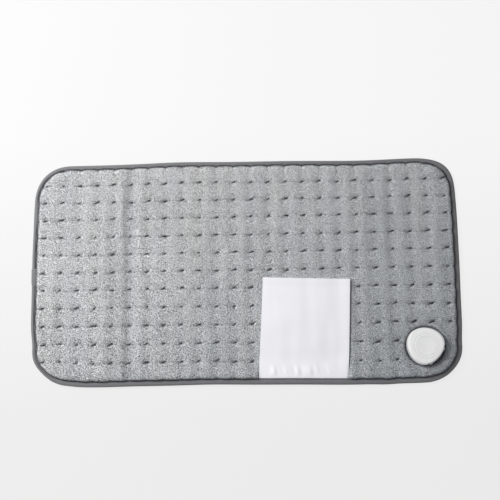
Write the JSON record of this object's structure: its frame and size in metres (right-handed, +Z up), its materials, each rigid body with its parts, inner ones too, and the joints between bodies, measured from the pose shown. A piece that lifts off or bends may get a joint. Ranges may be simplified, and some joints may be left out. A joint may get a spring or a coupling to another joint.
{
  "type": "heating pad",
  "caption": "Flat tufted plush heating pad with bound edges, a corner control puck with a push button, light ring and lead socket, and a long sewn-in label.",
  "frame": {"origin": "middle of the pad's outline, on the surface that it lies on", "axes": "+X along the pad's length towards the end with the puck, +Y across it towards the edge away from the puck, +Z up through the plush"},
  "size_m": [0.61, 0.322, 0.0195],
  "materials": {
    "plush": "short grey plush pile, drawn down by small sewn tufts",
    "backing": "plain grey knitted backing",
    "felt": "off-white non-woven wadding",
    "binding": "dark grey woven tape, folded over the edge and stitched",
    "label": "smooth white woven label, bare",
    "wire": "smooth silicone insulation",
    "shell": "satin white moulded plastic",
    "diffuser": "milky moulded plastic",
    "dark_plastic": "matt dark moulded plastic",
    "board": "green solder mask",
    "steel": "bright plated steel",
    "contact": "plain brass strip"
  },
  "bodies": {
    "pad": {"lower_cover": "backing", "wadding": "felt", "heater_carrier": "felt", "heating_wire": "wire", "return_wire": "wire", "thermal_fuse": "steel", "upper_cover": "plush", "edge_binding": "binding", "splice_sleeve_1": "dark_plastic", "heater_lead_1": "dark_plastic", "splice_sleeve_2": "dark_plastic", "heater_lead_2": "dark_plastic", "puck_base": "shell", "puck_shell": "shell", "port_frame": "shell", "lead_receptacle": "dark_plastic", "circuit_board": "board", "switch_body": "dark_plastic", "return_spring": "steel", "light_ring": "diffuser", "controller_chip": "dark_plastic", "power_transistor": "dark_plastic", "smoothing_capacitor": "dark_plastic", "puck_screw_1": "steel", "puck_screw_2": "steel", "puck_screw_3": "steel", "puck_screw_4": "steel", "terminal_1": "dark_plastic", "terminal_2": "dark_plastic", "indicator_lamp_1": "diffuser", "indicator_lamp_2": "diffuser", "indicator_lamp_3": "diffuser", "indicator_lamp_4": "diffuser", "socket_contact_1": "contact", "socket_contact_2": "contact", "socket_contact_3": "contact"},
    "heat_button": {"button_cap": "shell", "switch_plunger": "dark_plastic"},
    "label": {"sewn_label": "label"}
  },
  "joints": [
    {"name": "button_press", "type": "slide", "parent": "pad", "child": "heat_button", "axis": [0, 0, -1], "range_m": [0, 0.001], "stiffness_N_per_m": 500, "springref_m": -0.001, "deforming": ["return_spring"]},
    {"name": "label_flap", "type": "hinge", "parent": "pad", "child": "label", "pos_m": [0.0832, -0.15136, 0.00555], "axis": [1, 0, 0], "range_deg": [0, 150]}
  ]
}
